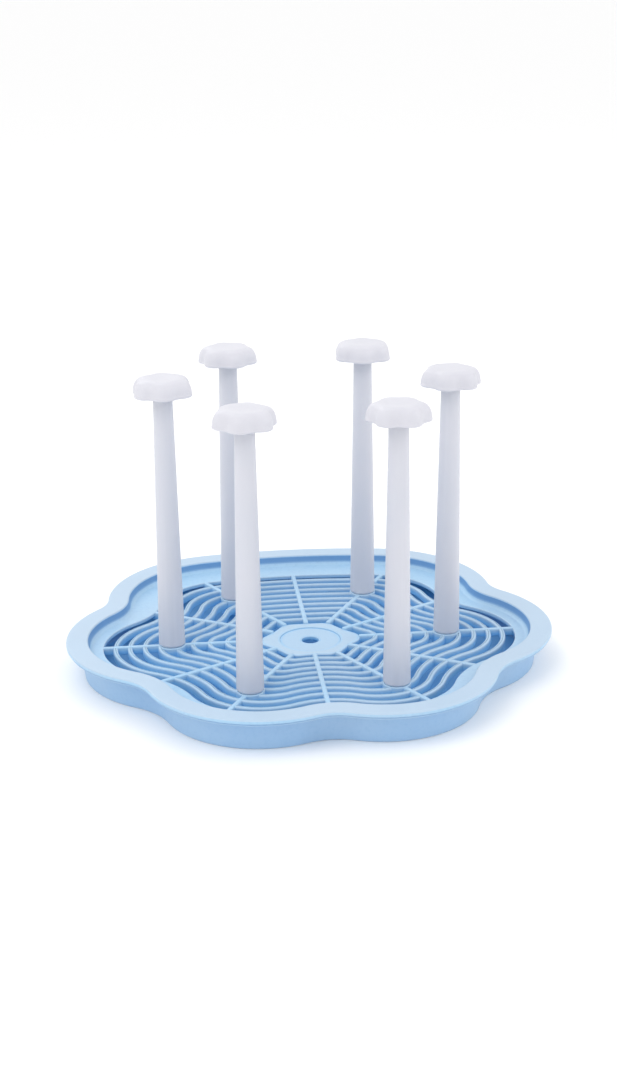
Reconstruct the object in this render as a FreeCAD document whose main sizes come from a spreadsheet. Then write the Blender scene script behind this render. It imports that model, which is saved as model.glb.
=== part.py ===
import FreeCAD, Part
import math
import os
import Sketcher

# Bottle drying rack: a lobed drip tray, a slotted drain grid that nests in it, and six
# round pegs with flower caps that plug into sockets in the grid.
# +Z is up, the origin is on the resting face below the hub, and a lobe points along +X.

LOBES = 6
LOBE_STEP = 360 / LOBES
# lobes run counter-clockwise from the one at +X; side k joins lobe k to the next one
LOBE_KINDS = ("side", "back", "back", "side", "front", "front")
LOBE_SIGNS = ((1, -1), (1, 1), (-1, 1), (-1, -1), (-1, -1), (1, -1))
SIDE_KINDS = ("rear_hollow", "back_bow", "rear_hollow", "near_hollow", "front_hollow", "near_hollow")
BACK_SIDE = 1
SLATS = 9
ORIGIN = -1
X_AXIS = -1
START, END, CENTRE = 1, 2, 3

DIMENSIONS = (
    # lobed rim outline: tip, arc and angle from the X axis of each kind of lobe, then the
    # hollow arcs between lobes and the long outward arc at the back
    ("rim_side_tip", 150.0),
    ("rim_side_arc", 74.0),
    ("rim_side_angle", 2.0),
    ("rim_back_tip", 154.5),
    ("rim_back_arc", 78.0),
    ("rim_back_angle", 52.5),
    ("rim_front_tip", 140.0),
    ("rim_front_arc", 69.0),
    ("rim_front_angle", 60.0),
    ("rim_rear_hollow", 25.0),
    ("rim_near_hollow", 34.0),
    ("rim_front_hollow", 26.0),
    ("rim_back_bow", 350.0),
    # slotted window in the shelf
    ("window_side_tip", 127.5),
    ("window_side_arc", 51.5),
    ("window_side_angle", 2.0),
    ("window_back_tip", 120.5),
    ("window_back_arc", 44.0),
    ("window_back_angle", 52.5),
    ("window_front_tip", 115.0),
    ("window_front_arc", 44.0),
    ("window_front_angle", 60.0),
    ("window_rear_hollow", 51.0),
    ("window_near_hollow", 58.0),
    ("window_front_hollow", 45.0),
    ("window_back_bow", 315.0),
    # hub plate in the middle of the window
    ("hub_side_tip", 31.0),
    ("hub_side_arc", 10.0),
    ("hub_side_angle", 0.0),
    ("hub_back_tip", 27.5),
    ("hub_back_arc", 10.0),
    ("hub_back_angle", 60.0),
    ("hub_front_tip", 27.5),
    ("hub_front_arc", 10.0),
    ("hub_front_angle", 60.0),
    ("hub_rear_hollow", 60.0),
    ("hub_near_hollow", 60.0),
    ("hub_front_hollow", 60.0),
    ("hub_back_bow", 300.0),
    # drip tray
    ("floor_thickness", 1.8),
    ("tray_top", 20.3),
    ("tray_rim_thickness", 1.7),
    ("tray_rim_inset", 0.9),
    ("tray_wall_inset_top", 8.8),
    ("tray_wall_inset_foot", 10.6),
    ("tray_cavity_inset_top", 10.6),
    ("tray_cavity_inset_foot", 12.4),
    # drain grid
    ("grid_top", 22.5),
    ("shelf_top", 15.7),
    ("shelf_thickness", 2.5),
    ("grid_wall_inset_top", 11.2),
    ("grid_wall_inset_foot", 13.0),
    ("recess_inset_top", 13.0),
    ("recess_inset_foot", 15.0),
    ("bar_width", 3.0),
    ("bar_depth", 5.0),
    ("side_bar_reach", 130.0),
    ("rear_bar_reach", 111.5),
    ("back_bar_reach", 121.0),
    ("bow_bar_reach", 111.0),
    ("near_bar_reach", 109.5),
    ("front_bar_reach", 117.5),
    ("valley_bar_reach", 100.5),
    ("hub_top", 14.6),
    ("hub_thickness", 2.8),
    ("hub_dish_radius", 19.0),
    ("hub_dish_depth", 0.6),
    ("hub_hole_radius", 5.3),
    # peg sockets in the grid
    ("peg_ring", 85.5),
    ("boss_radius", 8.4),
    ("boss_top", 16.0),
    ("boss_height", 10.0),
    ("socket_radius", 5.0),
    ("socket_depth", 8.6),
    # pegs
    ("peg_foot_radius", 8.1),
    ("peg_head_radius", 5.7),
    ("peg_height", 158.0),
    ("peg_edge", 1.0),
    ("spigot_radius", 4.95),
    ("spigot_length", 8.0),
    ("spigot_edge", 0.6),
    ("peg_bore_radius", 3.5),
    # flower caps
    ("cap_foot_tip", 18.6),
    ("cap_foot_lobe_arc", 7.2),
    ("cap_foot_hollow_arc", 9.0),
    ("cap_waist_level", 5.0),
    ("cap_waist_tip", 17.9),
    ("cap_waist_lobe_arc", 7.0),
    ("cap_waist_hollow_arc", 9.5),
    ("cap_shoulder_level", 8.6),
    ("cap_shoulder_tip", 15.8),
    ("cap_shoulder_lobe_arc", 6.4),
    ("cap_shoulder_hollow_arc", 14.0),
    ("cap_head_level", 10.2),
    ("cap_head_tip", 12.4),
    ("cap_head_lobe_arc", 5.6),
    ("cap_head_hollow_arc", 30.0),
    ("cap_stem_radius", 3.45),
    ("cap_stem_length", 9.0),
    ("cap_groove_inner", 7.5),
    ("cap_groove_outer", 12.5),
    ("cap_groove_depth", 3.5),
)
CAP_TURNS = (8, 24, 47, 33, 15, 52)
# full bars: angle from the X axis, and the reach of the far and of the near end
BARS = {
    0: ("side", "side"),
    30: ("rear", "near"),
    60: ("back", "front"),
    90: ("bow", "valley"),
    120: ("back", "front"),
    150: ("rear", "near"),
}

doc = FreeCAD.newDocument("bottle_drying_rack")


def fill_sheet():
    sheet = doc.addObject("Spreadsheet::Sheet", "dims")
    for row, (alias, value) in enumerate(DIMENSIONS, start=1):
        sheet.set("A%d" % row, alias)
        sheet.set("B%d" % row, str(value))
        sheet.setAlias("B%d" % row, alias)
    doc.recompute()
    return sheet


sheet = fill_sheet()


def size(formula):
    """Present value of a formula of sheet cells."""
    return float(sheet.evalExpression(formula))


class Outline:
    """Six lobe arcs, mirrored about the Y axis, joined by hollow arcs and by one outward arc."""

    def __init__(self, cell, back_bows_out=True):
        self.cell = cell
        self.back_bows_out = back_bows_out

    def arc(self, lobe):
        return self.cell(LOBE_KINDS[lobe] + "_arc")

    def centre(self, lobe):
        """(value, formula) of the x and of the y of a lobe arc's centre."""
        angle = self.cell(LOBE_KINDS[lobe] + "_angle")
        reach = "(%s - %s)" % (self.cell(LOBE_KINDS[lobe] + "_tip"), self.arc(lobe))
        sign_x, sign_y = LOBE_SIGNS[lobe]
        x = "%s * cos(%s)" % (reach, angle)
        y = "%s * sin(%s)" % (reach, angle)
        return (sign_x * size(x), x), (sign_y * size(y), y)

    def side_arc(self, side):
        return self.cell(SIDE_KINDS[side])

    def bows_out(self, side):
        return self.back_bows_out and side == BACK_SIDE


RIM = Outline(lambda name: "dims.rim_" + name)


def grille_outline(share):
    """Outline between the hub plate (share 0) and the slotted window (share 1)."""

    def cell(name):
        weight = "(%s)^2" % share if name.endswith("_arc") else "(%s)" % share
        hub = "dims.hub_" + name
        return "(%s + (dims.window_%s - %s) * %s)" % (hub, name, hub, weight)

    return Outline(cell)


def arc_between(centre, radius, first, last):
    """Counter-clockwise arc about centre, from the direction of first to that of last."""
    start = math.atan2(first.y - centre.y, first.x - centre.x)
    stop = math.atan2(last.y - centre.y, last.x - centre.x)
    if stop <= start:
        stop += 2 * math.pi
    circle = Part.Circle(centre, FreeCAD.Vector(0, 0, 1), radius)
    return Part.ArcOfCircle(circle, start, stop)


def new_body(label):
    body = doc.addObject("PartDesign::Body", label)
    body.Label = label
    return body


def new_sketch(body, name, level="0", role="XY_Plane"):
    sketch = body.newObject("Sketcher::SketchObject", "%s_%s" % (body.Label, name))
    plane = next(item for item in body.Origin.OriginFeatures if item.Role == role)
    sketch.AttachmentSupport = [(plane, "")]
    sketch.MapMode = "FlatFace"
    sketch.setExpression("AttachmentOffset.Base.z", level)
    return sketch


def bind(sketch, constraint, formula):
    index = sketch.addConstraint(constraint)
    name = "size_%d" % index
    sketch.renameConstraint(index, name)
    sketch.setExpression("Constraints." + name, formula)


def place_point(sketch, item, point, x, y):
    """Tie a sketch point to the origin by (value, formula) pairs; a value of zero ties it to the axis."""
    for kind, (value, formula), axis in (("DistanceX", x, -2), ("DistanceY", y, X_AXIS)):
        if abs(value) < 1e-9:
            sketch.addConstraint(Sketcher.Constraint("PointOnObject", item, point, axis))
        elif value > 0:
            bind(sketch, Sketcher.Constraint(kind, ORIGIN, START, item, point, value), formula)
        else:
            bind(sketch, Sketcher.Constraint(kind, item, point, ORIGIN, START, -value), formula)


def side_centre(near, far, near_link, far_link, bows_out):
    """Centre of the arc that joins two lobe arcs, link being its distance from each centre."""
    along = (far - near).normalize()
    length = near.distanceToPoint(far)
    step = (near_link ** 2 - far_link ** 2 + length ** 2) / (2 * length)
    offset = math.sqrt(near_link ** 2 - step ** 2)
    inwards = FreeCAD.Vector(-along.y, along.x, 0)
    return near + along * step + inwards * (offset if bows_out else -offset)


def draw_outline(sketch, outline, inset="0"):
    """Draw an outline, moved inwards by inset, with every arc tangent to its neighbours."""
    shift = size(inset)
    arcs = [size(outline.arc(k)) for k in range(LOBES)]
    places = [outline.centre(k) for k in range(LOBES)]
    lobes = [FreeCAD.Vector(x[0], y[0], 0) for x, y in places]
    radii = [size(outline.side_arc(k)) for k in range(LOBES)]
    sides = []
    for k in range(LOBES):
        after = (k + 1) % LOBES
        way = -1 if outline.bows_out(k) else 1
        links = [radii[k] + way * arcs[lobe] for lobe in (k, after)]
        sides.append(side_centre(lobes[k], lobes[after], links[0], links[1], outline.bows_out(k)))

    def join(lobe, side):
        way = (sides[side] - lobes[lobe]).normalize()
        if outline.bows_out(side):
            way = -way
        return lobes[lobe] + way * (arcs[lobe] - shift)

    first = sketch.GeometryCount
    for k in range(LOBES):
        before = (k - 1) % LOBES
        sketch.addGeometry(arc_between(lobes[k], arcs[k] - shift, join(k, before), join(k, k)))
    for k in range(LOBES):
        after = (k + 1) % LOBES
        if outline.bows_out(k):
            arc = arc_between(sides[k], radii[k] - shift, join(k, k), join(after, k))
        else:
            arc = arc_between(sides[k], radii[k] + shift, join(after, k), join(k, k))
        sketch.addGeometry(arc)

    tangents = []
    for k in range(LOBES):
        side = first + LOBES + k
        near, far = (START, END) if outline.bows_out(k) else (END, START)
        tangents.append(Sketcher.Constraint("Tangent", first + k, END, side, near))
        tangents.append(Sketcher.Constraint("Tangent", first + (k + 1) % LOBES, START, side, far))
    sketch.addConstraint(tangents)

    for k in range(LOBES):
        place_point(sketch, first + k, CENTRE, *places[k])
        lobe_radius = "%s - (%s)" % (outline.arc(k), inset)
        bind(sketch, Sketcher.Constraint("Radius", first + k, arcs[k] - shift), lobe_radius)
        sign = "-" if outline.bows_out(k) else "+"
        formula = "%s %s (%s)" % (outline.side_arc(k), sign, inset)
        bind(sketch, Sketcher.Constraint("Radius", first + LOBES + k, size(formula)), formula)


def draw_circle(sketch, radius, x="0", y="0"):
    centre = FreeCAD.Vector(size(x), size(y), 0)
    item = sketch.addGeometry(Part.Circle(centre, FreeCAD.Vector(0, 0, 1), size(radius)))
    place_point(sketch, item, CENTRE, (centre.x, x), (centre.y, y))
    bind(sketch, Sketcher.Constraint("Radius", item, size(radius)), radius)


def draw_profile(sketch, corners):
    """Closed run of straight lines through corners given as (x formula, y formula)."""
    points = [FreeCAD.Vector(size(x), size(y), 0) for x, y in corners]
    count = len(points)
    first = sketch.GeometryCount
    for k in range(count):
        sketch.addGeometry(Part.LineSegment(points[k], points[(k + 1) % count]))
    for k in range(count):
        after = (k + 1) % count
        sketch.addConstraint(Sketcher.Constraint("Coincident", first + k, END, first + after, START))
    for k, (x, y) in enumerate(corners):
        x_pair = (points[k].x, x if points[k].x > 0 else "-(%s)" % x)
        y_pair = (points[k].y, y if points[k].y > 0 else "-(%s)" % y)
        place_point(sketch, first + k, START, x_pair, y_pair)


def feature(body, kind, name, profile):
    item = body.newObject("PartDesign::" + kind, "%s_%s" % (body.Label, name))
    item.Profile = profile
    profile.Visibility = False
    return item


def pad(body, sketch, name, length, downwards=False):
    item = feature(body, "Pad", name, sketch)
    item.setExpression("Length", length)
    item.Reversed = downwards
    return item


def pocket(body, sketch, name, depth, upwards=False):
    before = body.Shape.Volume
    item = feature(body, "Pocket", name, sketch)
    item.setExpression("Length", depth)
    item.Reversed = upwards
    doc.recompute()
    if body.Shape.Volume >= before:
        raise RuntimeError("%s cuts nothing" % name)
    return item


def loft(body, kind, name, lower, upper):
    item = feature(body, kind, name, lower)
    item.Sections = [(upper, [""])]
    item.Ruled = True
    return item


def repeat(body, original, name, count, total_angle):
    """Copies of one feature about the vertical axis, total_angle from the first to the last."""
    axis = next(item for item in body.Origin.OriginFeatures if item.Role == "Z_Axis")
    pattern = body.newObject("PartDesign::PolarPattern", "%s_%s" % (body.Label, name))
    pattern.Originals = [original]
    pattern.Axis = (axis, [""])
    pattern.Angle = total_angle
    pattern.Occurrences = count
    body.Tip = pattern
    doc.recompute()
    return pattern


def outline_sketch(body, name, level, outline, inset="0"):
    sketch = new_sketch(body, name, level)
    draw_outline(sketch, outline, inset)
    return sketch


def circle_sketch(body, name, level, radius, x="0"):
    sketch = new_sketch(body, name, level)
    draw_circle(sketch, radius, x)
    return sketch


def make_drip_tray():
    body = new_body("drip_tray")
    foot = outline_sketch(body, "wall_foot", "0", RIM, "dims.tray_wall_inset_foot")
    head = outline_sketch(body, "wall_head", "dims.tray_top", RIM, "dims.tray_wall_inset_top")
    loft(body, "AdditiveLoft", "wall", foot, head)
    rim = outline_sketch(body, "rim_edge", "dims.tray_top", RIM, "dims.tray_rim_inset")
    pad(body, rim, "rim", "dims.tray_rim_thickness", downwards=True)
    foot = outline_sketch(body, "cavity_foot", "dims.floor_thickness", RIM, "dims.tray_cavity_inset_foot")
    head = outline_sketch(body, "cavity_head", "dims.tray_top", RIM, "dims.tray_cavity_inset_top")
    loft(body, "SubtractiveLoft", "cavity", foot, head)
    doc.recompute()
    return body


def add_bars(body):
    """Twelve radial bars, as six full bars whose ends lie in the shelf."""
    half = "dims.bar_width / 2"
    minus_half = "0 - dims.bar_width / 2"
    for angle, (far, near) in BARS.items():
        sketch = new_sketch(body, "bar_%d_edge" % angle, "dims.shelf_top")
        sketch.AttachmentOffset.Rotation = FreeCAD.Rotation(FreeCAD.Vector(0, 0, 1), angle)
        reach = "dims.%s_bar_reach" % far
        minus_reach = "0 - dims.%s_bar_reach" % near
        corners = ((minus_reach, minus_half), (reach, minus_half), (reach, half), (minus_reach, half))
        draw_profile(sketch, corners)
        pad(body, sketch, "bar_%d" % angle, "dims.bar_depth", downwards=True)
        doc.recompute()


def add_slats(body):
    gap = "(dims.window_side_tip - dims.hub_side_tip - %d * dims.bar_width) / %d" % (SLATS, SLATS + 1)
    for number in range(1, SLATS + 1):
        middle = "(%d * %s + %s * dims.bar_width)" % (number, gap, number - 0.5)
        share = "%s / (dims.window_side_tip - dims.hub_side_tip)" % middle
        outline = grille_outline(share)
        sketch = new_sketch(body, "slat_%d_edge" % number, "dims.shelf_top")
        draw_outline(sketch, outline, "dims.bar_width / 2")
        draw_outline(sketch, outline, "0 - dims.bar_width / 2")
        pad(body, sketch, "slat_%d" % number, "dims.bar_depth", downwards=True)
        doc.recompute()


def add_hub(body):
    clearing = outline_sketch(body, "hub_clearing", "dims.grid_top", grille_outline("0"))
    pocket(body, clearing, "hub_clearing_cut", "dims.grid_top - dims.hub_top")
    plate = outline_sketch(body, "hub_edge", "dims.hub_top", grille_outline("0"))
    pad(body, plate, "hub", "dims.hub_thickness", downwards=True)
    doc.recompute()


def add_sockets(body):
    edge = circle_sketch(body, "boss_edge", "dims.boss_top", "dims.boss_radius", "dims.peg_ring")
    boss = pad(body, edge, "boss", "dims.boss_height", downwards=True)
    doc.recompute()
    whole_turn = 360
    repeat(body, boss, "bosses", LOBES, whole_turn)
    edge = circle_sketch(body, "socket_edge", "dims.boss_top", "dims.socket_radius", "dims.peg_ring")
    socket = pocket(body, edge, "socket", "dims.socket_depth")
    repeat(body, socket, "sockets", LOBES, whole_turn)


def make_drain_grid():
    body = new_body("drain_grid")
    edge = outline_sketch(body, "rim_edge", "dims.grid_top", RIM)
    pad(body, edge, "rim", "dims.grid_top - dims.tray_top", downwards=True)
    foot = outline_sketch(body, "wall_foot", "dims.shelf_top - dims.shelf_thickness", RIM,
                          "dims.grid_wall_inset_foot")
    head = outline_sketch(body, "wall_head", "dims.tray_top", RIM, "dims.grid_wall_inset_top")
    loft(body, "AdditiveLoft", "wall", foot, head)
    foot = outline_sketch(body, "recess_foot", "dims.shelf_top", RIM, "dims.recess_inset_foot")
    head = outline_sketch(body, "recess_head", "dims.grid_top", RIM, "dims.recess_inset_top")
    loft(body, "SubtractiveLoft", "recess", foot, head)
    doc.recompute()
    window = outline_sketch(body, "window_edge", "dims.shelf_top", grille_outline("1"))
    pocket(body, window, "window", "2 * dims.shelf_thickness")
    add_bars(body)
    add_hub(body)
    add_slats(body)
    add_sockets(body)
    dish = circle_sketch(body, "hub_dish_edge", "dims.hub_top", "dims.hub_dish_radius")
    pocket(body, dish, "hub_dish", "dims.hub_dish_depth")
    hole = circle_sketch(body, "hub_hole_edge", "dims.hub_top", "dims.hub_hole_radius")
    pocket(body, hole, "hub_hole", "2 * dims.hub_thickness")
    return body


def stand_on_ring(body, number, turn):
    """Place a body over socket number, turned about its own axis."""
    angle = LOBE_STEP * (number - 1)
    body.setExpression("Placement.Base.x", "dims.peg_ring * cos(%s)" % angle)
    body.setExpression("Placement.Base.y", "dims.peg_ring * sin(%s)" % angle)
    body.Placement.Rotation = FreeCAD.Rotation(FreeCAD.Vector(0, 0, 1), turn)


def make_peg(number):
    body = new_body("peg_%d" % number)
    bottom = "dims.boss_top - dims.spigot_length"
    top = "dims.boss_top + dims.peg_height"
    corners = (
        ("dims.peg_bore_radius", bottom),
        ("dims.spigot_radius - dims.spigot_edge", bottom),
        ("dims.spigot_radius", bottom + " + dims.spigot_edge"),
        ("dims.spigot_radius", "dims.boss_top"),
        ("dims.peg_foot_radius - dims.peg_edge", "dims.boss_top"),
        ("dims.peg_foot_radius", "dims.boss_top + dims.peg_edge"),
        ("dims.peg_head_radius", top),
        ("dims.peg_bore_radius", top),
    )
    sketch = new_sketch(body, "section", role="XZ_Plane")
    draw_profile(sketch, corners)
    turned = feature(body, "Revolution", "turned", sketch)
    turned.ReferenceAxis = (sketch, ["V_Axis"])
    turned.Angle = 360
    stand_on_ring(body, number, 0)
    doc.recompute()
    return body


def cap_section(body, section, level):
    """Six equal lobes with equal hollows between them."""

    def cell(name):
        if name.endswith("_angle"):
            return "0" if name == "side_angle" else str(LOBE_STEP)
        measure = {"tip": "tip", "arc": "lobe_arc"}.get(name.split("_")[1], "hollow_arc")
        return "dims.cap_%s_%s" % (section, measure)

    return outline_sketch(body, section, level, Outline(cell, back_bows_out=False))


def make_cap(number):
    body = new_body("cap_%d" % number)
    foot_level = "dims.boss_top + dims.peg_height"
    foot = cap_section(body, "foot", foot_level)
    sections = []
    for name in ("waist", "shoulder", "head"):
        sections.append(cap_section(body, name, "%s + dims.cap_%s_level" % (foot_level, name)))
    dome = feature(body, "AdditiveLoft", "dome", foot)
    dome.Sections = [(section, [""]) for section in sections]
    dome.Ruled = True
    doc.recompute()
    ring = new_sketch(body, "groove_edge", foot_level)
    draw_circle(ring, "dims.cap_groove_inner")
    draw_circle(ring, "dims.cap_groove_outer")
    pocket(body, ring, "groove", "dims.cap_groove_depth", upwards=True)
    stem = circle_sketch(body, "stem_edge", foot_level, "dims.cap_stem_radius")
    pad(body, stem, "stem", "dims.cap_stem_length", downwards=True)
    stand_on_ring(body, number, CAP_TURNS[number - 1])
    doc.recompute()
    return body


def check_document():
    for item in doc.Objects:
        if "Invalid" in item.State or "Error" in item.State:
            raise RuntimeError("%s is %s" % (item.Name, item.State))


def export_parts(bodies):
    os.makedirs("parts", exist_ok=True)
    for body in bodies:
        shape = body.Shape
        if shape.isNull() or not shape.isValid() or len(shape.Solids) != 1:
            raise RuntimeError("%s is not one valid solid" % body.Label)
        shape.exportStep("parts/%s.step" % body.Label)


bodies = [make_drip_tray(), make_drain_grid()]
for socket_number in range(1, LOBES + 1):
    bodies.append(make_peg(socket_number))
    bodies.append(make_cap(socket_number))
doc.recompute()
check_document()
export_parts(bodies)
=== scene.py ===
"""Bottle drying rack: two nested lobed trays, six frosted pegs and their flower caps."""
import logging
import math
from dataclasses import dataclass, field
from enum import Enum
from typing import Union

import bmesh
import bpy
from bmesh.types import BMEdge, BMVert
from mathutils import Matrix, Vector


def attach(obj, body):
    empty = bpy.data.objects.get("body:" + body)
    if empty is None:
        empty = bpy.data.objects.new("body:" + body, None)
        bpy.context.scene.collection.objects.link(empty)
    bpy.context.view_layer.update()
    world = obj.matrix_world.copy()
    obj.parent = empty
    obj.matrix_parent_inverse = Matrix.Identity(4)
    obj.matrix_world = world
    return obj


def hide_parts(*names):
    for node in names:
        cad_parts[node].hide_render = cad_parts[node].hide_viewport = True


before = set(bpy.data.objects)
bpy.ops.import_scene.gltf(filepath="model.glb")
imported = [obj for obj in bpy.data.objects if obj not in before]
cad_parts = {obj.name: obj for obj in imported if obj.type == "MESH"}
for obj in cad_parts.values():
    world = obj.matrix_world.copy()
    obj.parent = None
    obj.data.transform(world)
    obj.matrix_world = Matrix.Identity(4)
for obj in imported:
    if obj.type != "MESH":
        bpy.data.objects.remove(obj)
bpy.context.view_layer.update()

logging.basicConfig(level=logging.INFO, format="%(name)s: %(message)s")
log = logging.getLogger("drying_rack")

MM = 0.001
UP = Vector((0, 0, 1))
BLACK = (0.0, 0.0, 0.0, 1.0)
LOBES = 6
LOBE_STEP = 2 * math.pi / LOBES
BACK_SIDE = 1

# mesh making: distance of doubles, flat beside a rounding, and the small difference in level
# that lets bridge_loops tell apart two flat loops with different centres
MERGE = 0.004
SUPPORT = 0.4
BRIDGE_STEP = 0.02

# levels and radii in millimetres, the levels from the table up
GRID_TOP = 22.5
TRAY_TOP = 20.3
TRAY_RIM_UNDERSIDE = 18.6
FLOOR_TOP = 1.8
SHELF_TOP = 15.7
SHELF_UNDERSIDE = 13.2
BAR_TOP = 15.64
SLAT_TOP = 15.5
BAR_UNDERSIDE = 10.7
BAR_WIDTH = 3.0
SLATS = 9
HUB_TOP = 14.6
HUB_UNDERSIDE = 11.8
HUB_HOLE = 5.3
HUB_DISH = 19.0
HUB_DISH_DEPTH = 0.6
RIB_START = 6.5
RIB_OVERLAP = 0.6
PEG_RING = 85.5
BOSS_TOP = 16.0
BOSS_UNDERSIDE = 6.0
BOSS_RADIUS = 8.4
SOCKET_FLOOR = 7.4
SOCKET_RADIUS = 5.0
SPIGOT_RADIUS = 4.95
SPIGOT_LENGTH = 8.0
PEG_TOP = 174.0
PEG_FOOT = 8.1
PEG_HEAD = 5.7
PEG_BORE = 3.5
STEM_RADIUS = 3.45
STEM_LENGTH = 9.0
GROOVE_INNER = 7.5
GROOVE_OUTER = 12.5
GROOVE_DEPTH = 3.5


class Slot(Enum):
    """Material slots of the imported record."""

    TRAY = "tray_plastic"
    GRID = "grid_plastic"
    PEG = "peg_plastic"
    CAP = "cap_plastic"


class Edge(Enum):
    """What a rounded corner paints: handled edges paler (painted highlight, partly worn), recesses darker
    (painted shade).
    """

    PLAIN = 0.0
    HIGHLIT_AND_WORN = 1.0
    RECESS = -1.0


def on_circle(radius: float, angle: float, level: float = 0.0) -> Vector:
    """Point on a circle about the vertical axis.

    Args:
        radius: Distance from the axis.
        angle: Direction from +X, in radians.
        level: Height of the point.

    Returns:
        The point.
    """
    return Vector((radius * math.cos(angle), radius * math.sin(angle), level))


@dataclass(frozen=True)
class Corner:
    """Corner of a section in millimetres: across is an inset from an outline or a radius of a ring.

    A rounded corner takes its painted light from edge, and a plain one from its own value:
    above zero painted paler (painted highlight, partly worn), below zero painted darker (painted shade).
    """

    across: float
    level: float
    radius: float = 0.0
    edge: Edge = Edge.PLAIN
    painted_light_and_wear: float = 0.0

    @property
    def spot(self) -> Vector:
        """The corner as a flat vector."""
        return Vector((self.across, self.level))


def rounded(corners: list[Corner], closed: bool = False, steps: int = 6) -> list[Corner]:
    """Round a section's corners, with a short flat kept beside each rounding.

    Args:
        corners: The section's corners in order.
        closed: Whether the last corner joins the first.
        steps: Segments in each rounding.

    Returns:
        The points of the rounded section.
    """
    points: list[Corner] = []
    count = len(corners)
    for index, corner in enumerate(corners):
        if corner.radius <= 0 or (not closed and index in (0, count - 1)):
            points.append(corner)
            continue
        back = corners[index - 1].spot - corner.spot
        ahead = corners[(index + 1) % count].spot - corner.spot
        half = back.angle(ahead) / 2
        trim = corner.radius / math.tan(half)
        middle = (back.normalized() + ahead.normalized()).normalized()
        centre = corner.spot + middle * (corner.radius / math.sin(half))
        first = corner.spot + back.normalized() * trim
        last = corner.spot + ahead.normalized() * trim
        if back.length > trim + 2 * SUPPORT:
            points.append(Corner(*(first + back.normalized() * SUPPORT)))
        for step in range(steps + 1):
            way = (first - centre).slerp(last - centre, step / steps)
            # painted light along a rounding, strongest half way: paler on highlit edges, darker in recesses
            painted_light_and_wear = corner.edge.value * math.sin(math.pi * step / steps)
            points.append(Corner(*(centre + way.normalized() * corner.radius), painted_light_and_wear=painted_light_and_wear))
        if ahead.length > trim + 2 * SUPPORT:
            points.append(Corner(*(last + ahead.normalized() * SUPPORT)))
    return points


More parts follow.
